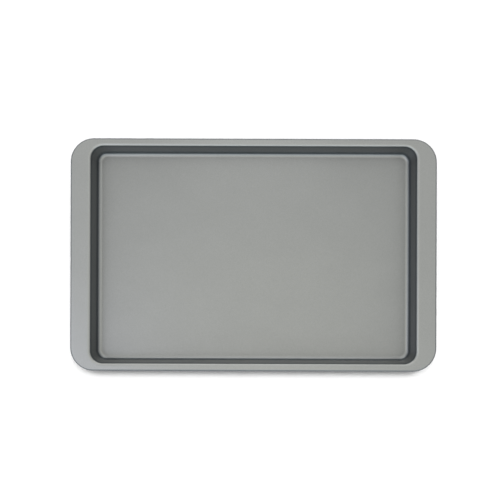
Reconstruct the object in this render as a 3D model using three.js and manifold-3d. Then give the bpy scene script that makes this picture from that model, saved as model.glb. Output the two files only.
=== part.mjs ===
// Sheet pan: a tray pressed from one steel sheet, with drafted walls and a flat rim that widens into a
// grip at each end. The edge of the sheet is curled around a stiffening wire, and a non-stick film
// covers the baking side.
// Millimetres, +Z up. The origin is the centre of the underside, and +X runs along the length.

import * as THREE from "three";
import { mergeVertices } from "three/addons/utils/BufferGeometryUtils.js";
import Module from "manifold-3d";

// Tray, measured on its baking side
const OPENING_LENGTH = 381; // between the end walls, where their faces would meet the top of the rim
const OPENING_WIDTH = 254; // between the side walls, measured in the same way
const OPENING_CORNER = 14.5; // corner radius of the opening
const HEIGHT = 25; // underside to the top of the rim
const WALL_DRAFT = THREE.MathUtils.degToRad(8); // lean of the walls from upright
const FLOOR_FILLET = 5; // radius between floor and wall, on the baking side

// Sheet and film
const SHEET = 0.8; // steel thickness
const FILM = 0.04; // non-stick film thickness

// Rim
const GRIP_WIDTH = 23.3; // end wall to the outermost edge, at each short end
const SIDE_RIM_WIDTH = 8.8; // side wall to the outermost edge, along each long side
const EDGE_CORNER = 27.5; // corner radius of the outermost edge
const RIM_BEND = 2.4; // radius between wall and rim, on the underside

// Wired edge
const WIRE_DIAMETER = 2.4;
const WIRE_CLEARANCE = 0.15; // around the wire, inside the curl
const WIRE_BUTT_GAP = 1.5; // between the two ends of the wire
const SEAM_GAP = 0.3; // raw edge of the sheet to the underside of the rim

// Facets
const CORNER_STEPS = 8; // per rounded corner
const FILLET_STEPS = 4;
const BEND_STEPS = 4;
const CURL_STEPS = 12; // over three quarters of a turn
const RAW_EDGE_STEPS = 2; // over the rest of the curl
const WIRE_SIDES = 10;

const QUARTER_TURN = Math.PI / 2;
const HALF_TURN = Math.PI;
const stack = SHEET + FILM;
const curlInside = WIRE_DIAMETER / 2 + WIRE_CLEARANCE;
const curlOutside = curlInside + stack;

// Rounded rectangles that the sections follow: the opening of the tray, and the centre line of the wire.
const openingOutline = {
  length: OPENING_LENGTH,
  width: OPENING_WIDTH,
  corner: OPENING_CORNER,
};
const wireOutline = {
  length: OPENING_LENGTH + 2 * (GRIP_WIDTH - curlOutside),
  width: OPENING_WIDTH + 2 * (SIDE_RIM_WIDTH - curlOutside),
  corner: EDGE_CORNER - curlOutside,
};
const wireHeight = HEIGHT - curlOutside;

// Signs of x and y at the corners of an outline, anticlockwise from the first quadrant.
const CORNER_SIGNS = [
  [1, 1],
  [-1, 1],
  [-1, -1],
  [1, -1],
];

// Evenly spaced angles, with both ends.
function sweep(from, to, steps) {
  return Array.from({ length: steps + 1 }, (_, step) => THREE.MathUtils.lerp(from, to, step / steps));
}

// A loop of points that runs anticlockwise along an outline grown by an offset.
function loopAlong(outline, grow, z) {
  const radius = outline.corner + grow;
  return CORNER_SIGNS.flatMap(([signX, signY], corner) => {
    const centreX = signX * (outline.length / 2 - outline.corner);
    const centreY = signY * (outline.width / 2 - outline.corner);
    const angles = sweep(corner * QUARTER_TURN, (corner + 1) * QUARTER_TURN, CORNER_STEPS);
    return angles.map((angle) => {
      const x = centreX + radius * Math.cos(angle);
      const y = centreY + radius * Math.sin(angle);
      return new THREE.Vector3(x, y, z);
    });
  });
}

// The three bends of the pressed sheet, as arcs in a section across the wall. The centre of a bend is an
// offset from its outline and a height. Its radius depends on the depth in the sheet, which is counted
// from the underside towards the baking side.
const wallOffset = (z) => -(HEIGHT - z) * Math.tan(WALL_DRAFT);
const filletHeight = stack + FLOOR_FILLET;
const bendRadius = RIM_BEND + stack;
const bendHeight = HEIGHT - bendRadius;
const rawEdgeTurn = Math.asin((curlInside - SEAM_GAP) / curlOutside);
const floorFillet = {
  outline: openingOutline,
  offset: wallOffset(filletHeight) - FLOOR_FILLET / Math.cos(WALL_DRAFT),
  height: filletHeight,
  radiusAt: (depth) => FLOOR_FILLET + stack - depth,
  angles: sweep(-QUARTER_TURN, -WALL_DRAFT, FILLET_STEPS),
};
const rimBend = {
  outline: openingOutline,
  offset: wallOffset(bendHeight) + bendRadius / Math.cos(WALL_DRAFT),
  height: bendHeight,
  radiusAt: (depth) => RIM_BEND + depth,
  angles: sweep(HALF_TURN - WALL_DRAFT, QUARTER_TURN, BEND_STEPS),
};
const edgeCurl = {
  outline: wireOutline,
  offset: 0,
  height: wireHeight,
  radiusAt: (depth) => curlInside + depth,
  angles: [
    ...sweep(QUARTER_TURN, -HALF_TURN, CURL_STEPS),
    ...sweep(-HALF_TURN, -HALF_TURN - rawEdgeTurn, RAW_EDGE_STEPS).slice(1),
  ],
};

// Loops along one face of the sheet, from the edge of the floor out to the raw edge inside the curl.
function faceLoops(depth) {
  return [floorFillet, rimBend, edgeCurl].flatMap((bend) => {
    const radius = bend.radiusAt(depth);
    return bend.angles.map((angle) => {
      const grow = bend.offset + radius * Math.cos(angle);
      return loopAlong(bend.outline, grow, bend.height + radius * Math.sin(angle));
    });
  });
}

// Skins a list of loops. A ring joins its last loop to its first. Otherwise both ends are capped by a
// fan around the middle of the end loop.
function loft(loops, { ring }) {
  const count = loops[0].length;
  const vertices = loops.flat();
  const triangles = [];
  const bands = ring ? loops.length : loops.length - 1;
  for (let band = 0; band < bands; band++) {
    const near = band * count;
    const far = ((band + 1) % loops.length) * count;
    for (let i = 0; i < count; i++) {
      const next = (i + 1) % count;
      triangles.push(near + i, near + next, far + next);
      triangles.push(near + i, far + next, far + i);
    }
  }
  if (!ring) {
    const top = (loops.length - 1) * count;
    const bottomMiddle = vertices.push(new THREE.Vector3(0, 0, loops.at(0)[0].z)) - 1;
    const topMiddle = vertices.push(new THREE.Vector3(0, 0, loops.at(-1)[0].z)) - 1;
    for (let i = 0; i < count; i++) {
      const next = (i + 1) % count;
      triangles.push(bottomMiddle, next, i);
      triangles.push(topMiddle, top + i, top + next);
    }
  }
  return new THREE.BufferGeometry().setFromPoints(vertices).setIndex(triangles);
}

// A layer of the sheet between two depths, closed along its raw edge.
function sheetLayer(low, high) {
  return loft([...faceLoops(low), ...faceLoops(high).reverse()], { ring: false });
}

const wasm = await Module();
wasm.setup();

function toSolid(geometry) {
  const bare = geometry.clone();
  bare.deleteAttribute("normal");
  bare.deleteAttribute("uv");
  const merged = mergeVertices(bare);
  return new wasm.Manifold(
    new wasm.Mesh({
      numProp: 3,
      vertProperties: merged.attributes.position.array,
      triVerts: new Uint32Array(merged.index.array),
    }),
  );
}

function toGeometry(solid) {
  const mesh = solid.getMesh();
  return new THREE.BufferGeometry()
    .setAttribute("position", new THREE.BufferAttribute(mesh.vertProperties, 3))
    .setIndex(new THREE.BufferAttribute(mesh.triVerts, 1));
}

// One length of wire, bent round the edge, whose ends butt at the middle of the rear side.
function rimWire() {
  const radius = WIRE_DIAMETER / 2;
  const angles = sweep(0, 2 * HALF_TURN, WIRE_SIDES).slice(1);
  const loops = angles.map((angle) =>
    loopAlong(wireOutline, radius * Math.cos(angle), wireHeight + radius * Math.sin(angle)),
  );
  const butt = new THREE.BoxGeometry(WIRE_BUTT_GAP, 2 * WIRE_DIAMETER, 2 * WIRE_DIAMETER);
  butt.translate(0, wireOutline.width / 2, wireHeight);
  return toGeometry(toSolid(loft(loops, { ring: true })).subtract(toSolid(butt)));
}

const aluminisedSteel = new THREE.MeshStandardMaterial({
  color: 0x9b9d9c,
  metalness: 1,
  roughness: 0.5,
});
const nonStickGrey = new THREE.MeshStandardMaterial({
  color: 0xa0a19e,
  metalness: 0.9,
  roughness: 0.42,
});
const drawnWire = new THREE.MeshStandardMaterial({
  color: 0xb4b6b6,
  metalness: 1,
  roughness: 0.35,
});

function piece(name, geometry, material) {
  geometry.computeVertexNormals();
  const mesh = new THREE.Mesh(geometry, material);
  mesh.name = name;
  return mesh;
}

const sheetPan = new THREE.Group();
sheetPan.name = "sheet_pan";
sheetPan.add(
  piece("pan_body", sheetLayer(0, SHEET), aluminisedSteel),
  piece("nonstick_coating", sheetLayer(SHEET, stack), nonStickGrey),
  piece("rim_wire", rimWire(), drawnWire),
);

export default sheetPan;
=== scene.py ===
import math

import bmesh
import bpy
from mathutils import Euler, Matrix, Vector


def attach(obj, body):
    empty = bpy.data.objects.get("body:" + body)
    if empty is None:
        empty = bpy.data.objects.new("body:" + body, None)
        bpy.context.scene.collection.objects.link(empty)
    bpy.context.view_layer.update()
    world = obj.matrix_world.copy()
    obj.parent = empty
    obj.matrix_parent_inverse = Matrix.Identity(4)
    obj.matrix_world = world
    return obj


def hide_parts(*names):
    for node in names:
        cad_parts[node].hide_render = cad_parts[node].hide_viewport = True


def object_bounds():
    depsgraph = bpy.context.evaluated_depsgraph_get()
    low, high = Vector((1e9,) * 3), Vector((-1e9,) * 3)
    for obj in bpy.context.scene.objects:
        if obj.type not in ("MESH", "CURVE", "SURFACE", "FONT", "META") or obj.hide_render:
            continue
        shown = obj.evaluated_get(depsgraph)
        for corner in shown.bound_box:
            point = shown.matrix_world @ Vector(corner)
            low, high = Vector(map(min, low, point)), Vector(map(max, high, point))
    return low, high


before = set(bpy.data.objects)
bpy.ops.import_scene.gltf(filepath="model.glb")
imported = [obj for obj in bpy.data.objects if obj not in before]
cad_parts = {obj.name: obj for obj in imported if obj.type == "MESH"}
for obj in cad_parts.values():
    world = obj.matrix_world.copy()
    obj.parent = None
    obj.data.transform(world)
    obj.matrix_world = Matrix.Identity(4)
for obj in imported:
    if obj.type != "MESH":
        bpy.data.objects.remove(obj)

cad_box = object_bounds()

# Sizes in metres. The overall size and the height come from the frame.
cad_low, cad_high = (Vector(corner) for corner in cad_box)
EDGE_LENGTH = cad_high.x - cad_low.x
EDGE_WIDTH = cad_high.y - cad_low.y
HEIGHT = cad_high.z
GRIP_WIDTH = 0.0233
SIDE_RIM_WIDTH = 0.0088
OPENING_CORNER = 0.0145
EDGE_CORNER = 0.0275
WALL_DRAFT = math.radians(8)
FLOOR_FILLET = 0.005
RIM_BEND = 0.0024
SHEET = 0.0008
FILM = 0.00004
WIRE_DIAMETER = 0.0024
WIRE_CLEARANCE = 0.00015
WIRE_BUTT_GAP = 0.0015
SEAM_GAP = 0.0003

# Facets of the visual meshes
CORNER_STEPS = 20
LONG_STEPS = 36
SHORT_STEPS = 24
FILLET_STEPS = 12
BEND_STEPS = 12
CURL_STEPS = 30
RIM_STEPS = 6
WALL_STEPS = 4
FLOOR_STEPS = 14
WIRE_SIDES = 16
SUPPORT = 0.0008
SHARP_ANGLE = math.radians(50)

# Painted shade on the film and sheet, by slope and by part: none at 0, most at 1. It also marks where the
# press stretched the sheet. The slopes are those between which it rises on the fillet, bend and curl; the
# bend into the rim gets a painted highlight where it falls to none, and the floor's edge a little painted
# light.
FILLET_SHADE_SLOPES = (math.radians(18), math.radians(66))
BEND_SHADE_SLOPES = (math.radians(39), math.radians(76))
BEND_HIGHLIGHT_SLOPES = (0, math.radians(20))
CURL_SHADE_SLOPES = (0, math.radians(36))
FLOOR_SHADE = 0.18
FLOOR_EDGE_SHADE = 0.155
WALL_SHADE = 0.8
RIM_SHADE = 0.09
FULL_SHADE = 1

QUARTER_TURN = math.pi / 2
HALF_TURN = math.pi
STACK = SHEET + FILM
CURL_INSIDE = WIRE_DIAMETER / 2 + WIRE_CLEARANCE
CURL_OUTSIDE = CURL_INSIDE + STACK
WIRE_HEIGHT = HEIGHT - CURL_OUTSIDE

# Signs of x and y at the corners of an outline, anticlockwise from the first quadrant
CORNER_SIGNS = ((1, 1), (-1, 1), (-1, -1), (1, -1))


class Outline:
    """A rounded rectangle that can be grown by an offset."""

    def __init__(self, length, width, corner):
        self.length = length
        self.width = width
        self.corner = corner

    def loop(self, grow, z):
        """Points that run anticlockwise along the grown outline, at one height."""
        radius = self.corner + grow
        reach_x = self.length / 2 - self.corner
        reach_y = self.width / 2 - self.corner

        def corner_point(corner, quarters):
            sign_x, sign_y = CORNER_SIGNS[corner % len(CORNER_SIGNS)]
            angle = quarters * QUARTER_TURN
            return Vector((
                sign_x * reach_x + radius * math.cos(angle),
                sign_y * reach_y + radius * math.sin(angle),
                z))

        points = []
        for corner in range(len(CORNER_SIGNS)):
            arc = [corner_point(corner, corner + step / CORNER_STEPS) for step in range(CORNER_STEPS + 1)]
            following = corner_point(corner + 1, corner + 1)
            steps = LONG_STEPS if corner % 2 == 0 else SHORT_STEPS
            side = [arc[-1].lerp(following, step / steps) for step in range(1, steps)]
            points += arc + side
        return points


opening = Outline(EDGE_LENGTH - 2 * GRIP_WIDTH, EDGE_WIDTH - 2 * SIDE_RIM_WIDTH, OPENING_CORNER)
wire_line = Outline(
    EDGE_LENGTH - 2 * CURL_OUTSIDE, EDGE_WIDTH - 2 * CURL_OUTSIDE, EDGE_CORNER - CURL_OUTSIDE)


def sweep(start, end, steps):
    """Evenly spaced angles, with both ends."""
    return [start + (end - start) * step / steps for step in range(steps + 1)]


fillet_angles = sweep(-QUARTER_TURN, -WALL_DRAFT, FILLET_STEPS)
bend_angles = sweep(HALF_TURN - WALL_DRAFT, QUARTER_TURN, BEND_STEPS)
raw_edge_turn = math.asin((CURL_INSIDE - SEAM_GAP) / CURL_OUTSIDE)
curl_angles = sweep(QUARTER_TURN, -HALF_TURN - raw_edge_turn, CURL_STEPS)


def arc_loops(outline, offset, height, radius, angles):
    return [
        outline.loop(offset + radius * math.cos(angle), height + radius * math.sin(angle))
        for angle in angles]


def between(first, last, shares):
    return [[a.lerp(b, share) for a, b in zip(first, last)] for share in shares]


def supported(first, last, steps):
    """Shares of the way between two loops, with one close to each end."""
    gap = SUPPORT / max((a - b).length for a, b in zip(first, last))
    return [gap] + [step / steps for step in range(1, steps)] + [1 - gap]


def wall_offset(z):
    return -(HEIGHT - z) * math.tan(WALL_DRAFT)


def face_loops(depth):
    """Loops along one face of the sheet, from the middle of the floor to the raw edge in the curl."""
    fillet_height = STACK + FLOOR_FILLET
    fillet = arc_loops(
        opening,
        wall_offset(fillet_height) - FLOOR_FILLET / math.cos(WALL_DRAFT),
        fillet_height,
        FLOOR_FILLET + STACK - depth,
        fillet_angles)
    bend_radius = RIM_BEND + STACK
    bend_height = HEIGHT - bend_radius
    bend = arc_loops(
        opening,
        wall_offset(bend_height) + bend_radius / math.cos(WALL_DRAFT),
        bend_height,
        RIM_BEND + depth,
        bend_angles)
    curl = arc_loops(wire_line, 0, WIRE_HEIGHT, CURL_INSIDE + depth, curl_angles)
    middle = [Vector((0, 0, fillet[0][0].z)) for _ in fillet[0]]
    reach = max(point.length for point in fillet[0])
    shares = [step / FLOOR_STEPS for step in range(1, FLOOR_STEPS)] + [1 - SUPPORT / reach]
    floor = between(middle, fillet[0], shares)
    wall = between(fillet[-1], bend[0], supported(fillet[-1], bend[0], WALL_STEPS))
    rim = between(bend[-1], curl[0], supported(bend[-1], curl[0], RIM_STEPS))
    return floor + fillet + wall + bend + rim + curl


def smooth_step(start, end, value):
    share = min(max((value - start) / (end - start), 0), 1)
    return share * share * (3 - 2 * share)


def shade_by_slope(flat_value, slopes, slope):
    """The painted shade value on a bend: the flat sheet's up to the first slope, the most from the second.
    """
    return flat_value + (FULL_SHADE - flat_value) * smooth_step(*slopes, slope)


def bend_shade(slope):
    """The painted shade value on the bend into the rim, which carries a painted highlight: the rim's
    slight painted shade falls to none before the bend's painted shade rises.
    """
    # Painted highlight: the rim's painted shade fades out at the start of the bend.
    fading_rim_shade = RIM_SHADE * (1 - smooth_step(*BEND_HIGHLIGHT_SLOPES, slope))
    return fading_rim_shade + smooth_step(*BEND_SHADE_SLOPES, slope)


def painted_shade_values():
    """The painted shade value at each of the loops of a face, highest on the walls, bends and curl, which
    the press stretched most.
    """
    # Painted shade: a little on the floor, rising up the fillet, most on the walls and darkest in lines at
    # their foot and top, and darkening out over the curl.
    floor = [FLOOR_SHADE] * (FLOOR_STEPS - 1) + [FLOOR_EDGE_SHADE]
    # The floor's last loop has a little less painted shade than the floor: painted light along its edge.
    fillet = [
        shade_by_slope(FLOOR_EDGE_SHADE, FILLET_SHADE_SLOPES, angle + QUARTER_TURN) for angle in fillet_angles]
    wall = [FULL_SHADE] + [WALL_SHADE] * (WALL_STEPS - 1) + [FULL_SHADE]
    bend = [bend_shade(angle - QUARTER_TURN) for angle in bend_angles]
    rim = [RIM_SHADE] * (RIM_STEPS + 1)
    curl = [shade_by_slope(RIM_SHADE, CURL_SHADE_SLOPES, QUARTER_TURN - angle) for angle in curl_angles]
    return floor + fillet + wall + bend + rim + curl


def loft(name, loops):
    """A smooth mesh over a list of loops. Its last two points are the middles of the caps at its ends."""
    count = len(loops[0])
    vertices = [point for loop in loops for point in loop]
    top = (len(loops) - 1) * count
    bottom_middle = len(vertices)
    top_middle = bottom_middle + 1
    vertices.append(sum(loops[0], Vector()) / count)
    vertices.append(sum(loops[-1], Vector()) / count)
    faces = []
    for near in range(0, top, count):
        far = near + count
        for i in range(count):
            j = (i + 1) % count
            faces.append((near + i, near + j, far + j, far + i))
    for i in range(count):
        j = (i + 1) % count
        faces.append((bottom_middle, j, i))
        faces.append((top_middle, top + i, top + j))
    mesh = bpy.data.meshes.new(name)
    mesh.from_pydata(vertices, [], faces)
    mesh.polygons.foreach_set("use_smooth", [True] * len(faces))
    mesh.validate()
    return mesh


def mark_sharp(mesh):
    edit = bmesh.new()
    edit.from_mesh(mesh)
    for edge in edit.edges:
        if len(edge.link_faces) == 2 and edge.calc_face_angle() > SHARP_ANGLE:
            edge.smooth = False
    edit.to_mesh(mesh)
    edit.free()


def sheet_layer(name, low_depth, high_depth):
    """A layer of the sheet between two depths. Its mesh stores the painted shade value of each point,
    which also marks where the press stretched the sheet.
    """
    lower = face_loops(low_depth)
    upper = face_loops(high_depth)
    mesh = loft(name, lower + upper[::-1])
    values = painted_shade_values()
    point_values = [value for value in values + values[::-1] for _ in lower[0]]
    cap_values = [FLOOR_SHADE] * 2
    # Painted shade value, stored on each point for the materials.
    drawn_and_painted_shade = mesh.attributes.new("drawn_and_painted_shade", "FLOAT", "POINT")
    drawn_and_painted_shade.data.foreach_set("value", point_values + cap_values)
    mark_sharp(mesh)
    return mesh


def wire_mesh(name):
    """One length of wire bent round the edge, whose ends butt at the middle of the rear side."""
    radius = WIRE_DIAMETER / 2
    lines = [
        wire_line.loop(radius * math.cos(angle), WIRE_HEIGHT + radius * math.sin(angle))
        for angle in sweep(2 * HALF_TURN, 0, WIRE_SIDES)[1:]]
    sections = [list(section) for section in zip(*lines)]
    rear_middle = CORNER_STEPS + LONG_STEPS // 2
    half_gap = Vector((WIRE_BUTT_GAP / 2, 0, 0))
    first = [point - half_gap for point in sections[rear_middle]]
    last = [point + half_gap for point in sections[rear_middle]]
    run = sections[rear_middle + 1:] + sections[:rear_middle]
    mesh = loft(name, [first] + run + [last])
    mark_sharp(mesh)
    return mesh


def new_piece(name, replaced, mesh, material):
    piece = bpy.data.objects.new(name, mesh)
    bpy.context.collection.objects.link(piece)
    mesh.materials.append(material)
    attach(piece, "root")
    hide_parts(replaced)


# Sockets of the mix node, which has the same names for numbers and for colours
MIX_SHARE = 0
MIX_NUMBERS = (2, 3)
MIX_COLOURS = (6, 7)
MIXED_NUMBER = 0
MIXED_COLOUR = 2

# Noise gathers round a half, so this middle of its range is spread over the whole of a new one.
NOISE_RANGE = (0.3, 0.7)


class Nodes:
    """A material's node tree, with short calls to add and link nodes."""

    def __init__(self, name):
        self.material = bpy.data.materials.new(name)
        self.material.use_nodes = True
        self.tree = self.material.node_tree
        self.shader = self.tree.nodes["Principled BSDF"]

    def add(self, kind, **values):
        node = self.tree.nodes.new(kind)
        for key, value in values.items():
            if key in node.inputs:
                node.inputs[key].default_value = value
            else:
                setattr(node, key, value)
        return node

    def link(self, source, target):
        self.tree.links.new(source, target)

    def feed(self, name, source):
        self.link(source, self.shader.inputs[name])

    # The painted shade value stored on the mesh, which also picks the steel's streaks.
    def drawn_and_painted_shade(self):
        return self.add("ShaderNodeAttribute", attribute_name="drawn_and_painted_shade").outputs["Fac"]

    def noise(self, sizes, detail):
        """Noise in the object's own space, whose lumps have about these sizes along x, y and z."""
        place = self.add("ShaderNodeTexCoord")
        scale = self.add("ShaderNodeMapping", Scale=[1 / size for size in sizes])
        noise = self.add("ShaderNodeTexNoise", Scale=1, Detail=detail)
        self.link(place.outputs["Object"], scale.inputs["Vector"])
        self.link(scale.outputs["Vector"], noise.inputs["Vector"])
        return noise.outputs["Fac"]

    def cells(self, size):
        place = self.add("ShaderNodeTexCoord")
        cells = self.add("ShaderNodeTexVoronoi", Scale=1 / size)
        self.link(place.outputs["Object"], cells.inputs["Vector"])
        tone = self.add("ShaderNodeSeparateColor")
        self.link(cells.outputs["Color"], tone.inputs["Color"])
        return tone.outputs["Red"]

    def spread(self, source, low, high):
        spread = self.add("ShaderNodeMapRange")
        spread.inputs["From Min"].default_value = NOISE_RANGE[0]
        spread.inputs["From Max"].default_value = NOISE_RANGE[1]
        spread.inputs["To Min"].default_value = low
        spread.inputs["To Max"].default_value = high
        self.link(source, spread.inputs["Value"])
        return spread.outputs["Result"]

    def product(self, first, second):
        product = self.add("ShaderNodeMath", operation="MULTIPLY")
        self.link(first, product.inputs[0])
        self.link(second, product.inputs[1])
        return product.outputs["Value"]

    def mix(self, share, first, second):
        mix = self.add("ShaderNodeMix")
        self.link(share, mix.inputs[MIX_SHARE])
        for source, socket in zip((first, second), MIX_NUMBERS):
            self.link(source, mix.inputs[socket])
        return mix.outputs[MIXED_NUMBER]

    def colour(self, share, first, second):
        mix = self.add("ShaderNodeMix", data_type="RGBA")
        for colour, socket in zip((first, second), MIX_COLOURS):
            mix.inputs[socket].default_value = (*colour, 1)
        self.link(share, mix.inputs[MIX_SHARE])
        return mix.outputs[MIXED_COLOUR]

    def shade(self, colour, tone):
        shade = self.add("ShaderNodeVectorMath", operation="SCALE")
        self.link(colour, shade.inputs["Vector"])
        self.link(tone, shade.inputs["Scale"])
        return shade.outputs["Vector"]

    def relief(self, height, depth):
        bump = self.add("ShaderNodeBump", Distance=depth)
        self.link(height, bump.inputs["Height"])
        self.feed("Normal", bump.outputs["Normal"])


# Tint of the sheet and of the film at grazing angles
GRAZING_TINT = (0.6, 0.6, 0.6, 1)

# Non-stick film: sizes and depth in metres, tones as factors on the colour
# The first colour is the film's own, reached on the bend's painted highlight; the second is painted shade,
# mixed in by the stored value.
FILM_UNSHADED = (0.301, 0.308, 0.295)
FILM_PAINTED_SHADE = (0.05, 0.062, 0.072)
FILM_ROUGHNESS = (0.5, 0.42)
CLOUD_SIZES = (0.05, 0.035, 0.035)
CLOUD_TONES = (0.985, 1.015)
FLAKE_SIZES = (0.0006, 0.0006, 0.0006)
FLAKE_TONES = (0.94, 1.06)
PEEL_SIZES = (0.0016, 0.0016, 0.0016)
PEEL_DEPTH = 0.00001
CLEAR_ROUGHNESS = 0.2
CLEAR_INDEX = 1.45


def coat_material():
    """Grey non-stick film: metal flakes under a clear layer, with a faint orange peel.

    It is darker by painted shade on the walls, bends and curl and a little on the floor, and the bend into
    the rim has a painted highlight."""
    nodes = Nodes("nonstick_grey")
    clouds = nodes.noise(CLOUD_SIZES, detail=2)
    flakes = nodes.noise(FLAKE_SIZES, detail=2)
    peel = nodes.noise(PEEL_SIZES, detail=1)
    # Painted shade and the bend's painted highlight, by the stored value.
    colour = nodes.colour(nodes.drawn_and_painted_shade(), FILM_UNSHADED, FILM_PAINTED_SHADE)
    tone = nodes.product(nodes.spread(clouds, *CLOUD_TONES), nodes.spread(flakes, *FLAKE_TONES))
    nodes.feed("Base Color", nodes.shade(colour, tone))
    nodes.feed("Roughness", nodes.spread(flakes, *FILM_ROUGHNESS))
    nodes.relief(peel, PEEL_DEPTH)
    nodes.shader.inputs["Metallic"].default_value = 1
    nodes.shader.inputs["Specular Tint"].default_value = GRAZING_TINT
    nodes.shader.inputs["Coat Weight"].default_value = 1
    nodes.shader.inputs["Coat Roughness"].default_value = CLEAR_ROUGHNESS
    nodes.shader.inputs["Coat IOR"].default_value = CLEAR_INDEX
    return nodes.material


# Aluminised sheet, in the same units
# The first colour is the sheet's own; the second is painted shade on the walls, bends and curl, mixed in
# by the stored value.
STEEL_UNSHADED = (0.36, 0.365, 0.365)
STEEL_PAINTED_SHADE = (0.29, 0.295, 0.3)
STEEL_ROUGHNESS = (0.42, 0.54)
GRAIN_SIZES = (0.03, 0.0005, 0.0005)
STREAK_SIZES = (0.0007, 0.0007, 0.02)
MARK_TONES = (0.9, 1.1)
MARK_DEPTH = 0.000006
SPANGLE_SIZE = 0.005
SPANGLE_TONES = (0.98, 1.02)


def steel_material():
    """Aluminised sheet: faint spangle and rolling grain, with upright streaks where the press stretched
    it, and painted shade there.
    """
    nodes = Nodes("aluminised_steel")
    grain = nodes.noise(GRAIN_SIZES, detail=3)
    streaks = nodes.noise(STREAK_SIZES, detail=3)
    spangle = nodes.cells(SPANGLE_SIZE)
    marks = nodes.mix(nodes.drawn_and_painted_shade(), grain, streaks)
    # Painted shade, by the stored value.
    colour = nodes.colour(nodes.drawn_and_painted_shade(), STEEL_UNSHADED, STEEL_PAINTED_SHADE)
    tone = nodes.product(nodes.spread(spangle, *SPANGLE_TONES), nodes.spread(marks, *MARK_TONES))
    nodes.feed("Base Color", nodes.shade(colour, tone))
    nodes.feed("Roughness", nodes.spread(marks, *STEEL_ROUGHNESS))
    nodes.relief(marks, MARK_DEPTH)
    nodes.shader.inputs["Metallic"].default_value = 1
    nodes.shader.inputs["Specular Tint"].default_value = GRAZING_TINT
    return nodes.material


# Wire, in the same units
WIRE_DARK = (0.38, 0.385, 0.385)
WIRE_BRIGHT = (0.52, 0.53, 0.53)
WIRE_ROUGHNESS = (0.28, 0.42)
SCORE_SIZES = (0.0004, 0.0004, 0.0004)
SCORE_DEPTH = 0.000004


def wire_material():
    """Drawn steel wire with a bright, finely scored surface."""
    nodes = Nodes("drawn_wire")
    scores = nodes.noise(SCORE_SIZES, detail=3)
    nodes.feed("Base Color", nodes.colour(scores, WIRE_DARK, WIRE_BRIGHT))
    nodes.feed("Roughness", nodes.spread(scores, *WIRE_ROUGHNESS))
    nodes.relief(scores, SCORE_DEPTH)
    nodes.shader.inputs["Metallic"].default_value = 1
    return nodes.material


new_piece("pan_shell", "pan_body", sheet_layer("pan_shell", 0, SHEET), steel_material())
new_piece(
    "coated_surface", "nonstick_coating",
    sheet_layer("coated_surface", SHEET, STACK), coat_material())
new_piece("stiffening_wire", "rim_wire", wire_mesh("stiffening_wire"), wire_material())


# Stage: a plain pale floor
STAGE_REACH = 6
STAGE_COLOUR = (0.97, 0.97, 0.97, 1)
floor_corners = [(sign_x * STAGE_REACH, sign_y * STAGE_REACH, 0) for sign_x, sign_y in CORNER_SIGNS]
floor_mesh = bpy.data.meshes.new("studio_floor")
floor_mesh.from_pydata(floor_corners, [], [range(len(floor_corners))])
floor = bpy.data.objects.new("studio_floor", floor_mesh)
bpy.context.collection.objects.link(floor)
floor_nodes = Nodes("studio_floor")
floor_nodes.shader.inputs["Base Color"].default_value = STAGE_COLOUR
floor_nodes.shader.inputs["Roughness"].default_value = 1
floor_nodes.shader.inputs["Specular IOR Level"].default_value = 0
floor_mesh.materials.append(floor_nodes.material)

# World: white where it is seen directly, mirrored or through something clear, and otherwise a dimmer room
ROOM_LEVEL = 0.43
SEEN_LEVEL = 1
world = bpy.data.worlds.new("studio")
bpy.context.scene.world = world
world.use_nodes = True
background = world.node_tree.nodes["Background"]
background.inputs["Color"].default_value = (1, 1, 1, 1)
ray = world.node_tree.nodes.new("ShaderNodeLightPath")
seen = ray.outputs["Is Camera Ray"]
for kind in ("Is Glossy Ray", "Is Transmission Ray"):
    either = world.node_tree.nodes.new("ShaderNodeMath")
    either.operation = "MAXIMUM"
    world.node_tree.links.new(seen, either.inputs[0])
    world.node_tree.links.new(ray.outputs[kind], either.inputs[1])
    seen = either.outputs["Value"]
strength = world.node_tree.nodes.new("ShaderNodeMix")
for socket, value in zip(MIX_NUMBERS, (ROOM_LEVEL, SEEN_LEVEL)):
    strength.inputs[socket].default_value = value
world.node_tree.links.new(seen, strength.inputs[MIX_SHARE])
world.node_tree.links.new(strength.outputs[MIXED_NUMBER], background.inputs["Strength"])


def add_lamp(light, name):
    lamp = bpy.data.objects.new(name, light)
    bpy.context.collection.objects.link(lamp)
    lamp.visible_camera = False
    return lamp


REFLECTOR_DISTANCE = 1.6
NEUTRAL = (1, 1, 1)
COOL = (0.8, 0.93, 1)
SKY = (0.76, 0.77, 0.98)
BLUE = (0.5, 0.7, 1)
WARM = (1, 0.96, 0.72)


def reflector(name, bearing, tilt, size, radiance, colour):
    """A soft panel that faces the pan and shows in its metal.

    Bearings run from +X to +Y and tilts from +Z, in degrees."""
    light = bpy.data.lights.new(name, "AREA")
    light.shape = "RECTANGLE"
    light.size, light.size_y = size
    light.energy = radiance * math.pi * size[0] * size[1]
    light.color = colour
    lamp = add_lamp(light, name)
    turn = Euler((math.radians(tilt), 0, math.radians(bearing) + QUARTER_TURN))
    lamp.rotation_euler = turn
    lamp.location = turn.to_matrix() @ Vector((0, 0, REFLECTOR_DISTANCE))
    lamp.visible_diffuse = False


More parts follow.
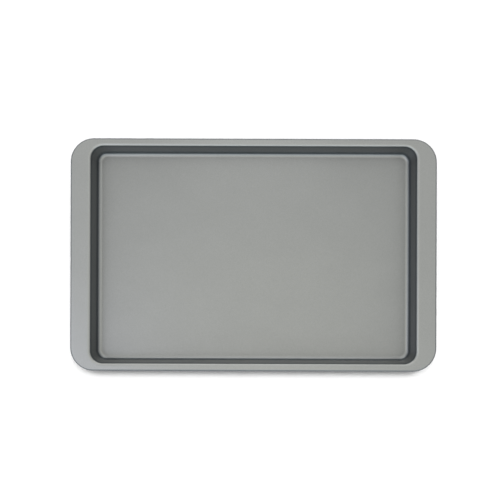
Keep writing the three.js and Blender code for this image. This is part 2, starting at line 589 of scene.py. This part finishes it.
reflector("overhead", bearing=270, tilt=5, size=(1, 0.6), radiance=0.42, colour=WARM)
reflector("front_high", bearing=288, tilt=25, size=(0.8, 0.4), radiance=0.56, colour=NEUTRAL)
reflector("rear_high", bearing=90, tilt=22, size=(0.5, 0.4), radiance=0.92, colour=NEUTRAL)
reflector("front", bearing=270, tilt=64, size=(3, 0.6), radiance=1.76, colour=COOL)
reflector("rear_low", bearing=93, tilt=71, size=(1.9, 0.7), radiance=1.76, colour=NEUTRAL)
reflector("left_front", bearing=212, tilt=36, size=(0.9, 0.7), radiance=1.4, colour=SKY)
reflector("left", bearing=180, tilt=66, size=(1.6, 0.5), radiance=0.5, colour=BLUE)


KEY_SPREAD = math.radians(19)
KEY_TILT = math.radians(17.8)


def floor_key(name, level, lean):
    """A soft light from behind, which lights the floor and casts the pan's shadow.

    It comes from the right where the lean, in degrees, is positive."""
    light = bpy.data.lights.new(name, "SUN")
    light.energy = level * math.pi
    light.angle = KEY_SPREAD
    lamp = add_lamp(light, name)
    lamp.rotation_euler = (-KEY_TILT, math.radians(lean), 0)
    lamp.visible_glossy = False


floor_key("floor_key_right", level=0.46, lean=12)
floor_key("floor_key_left", level=0.3, lean=-9)

# Camera: square above the pan, with its axis at a point below the middle of the picture.
# The scale holds at the height of the rim, and places in the picture are in pixels.
PICTURE_SIZE = 500
PIXELS_PER_METRE = 858.6
AXIS_X, AXIS_Y = 253.4, 298
PAN_X, PAN_Y = 253.4, 254.86
CAMERA_DISTANCE = 0.664
CAMERA_ROLL = math.radians(0.19)
SENSOR_WIDTH = 36
camera_data = bpy.data.cameras.new("camera")
camera_data.sensor_width = SENSOR_WIDTH
camera_data.lens = PIXELS_PER_METRE * CAMERA_DISTANCE / PICTURE_SIZE * SENSOR_WIDTH
camera_data.shift_x = -(AXIS_X - PICTURE_SIZE / 2) / PICTURE_SIZE
camera_data.shift_y = (AXIS_Y - PICTURE_SIZE / 2) / PICTURE_SIZE
camera = bpy.data.objects.new("camera", camera_data)
bpy.context.collection.objects.link(camera)
camera.location = (
    (AXIS_X - PAN_X) / PIXELS_PER_METRE, -(AXIS_Y - PAN_Y) / PIXELS_PER_METRE, HEIGHT + CAMERA_DISTANCE)
camera.rotation_euler = (0, 0, CAMERA_ROLL)
bpy.context.scene.camera = camera

bpy.context.scene.view_settings.view_transform = "Standard"
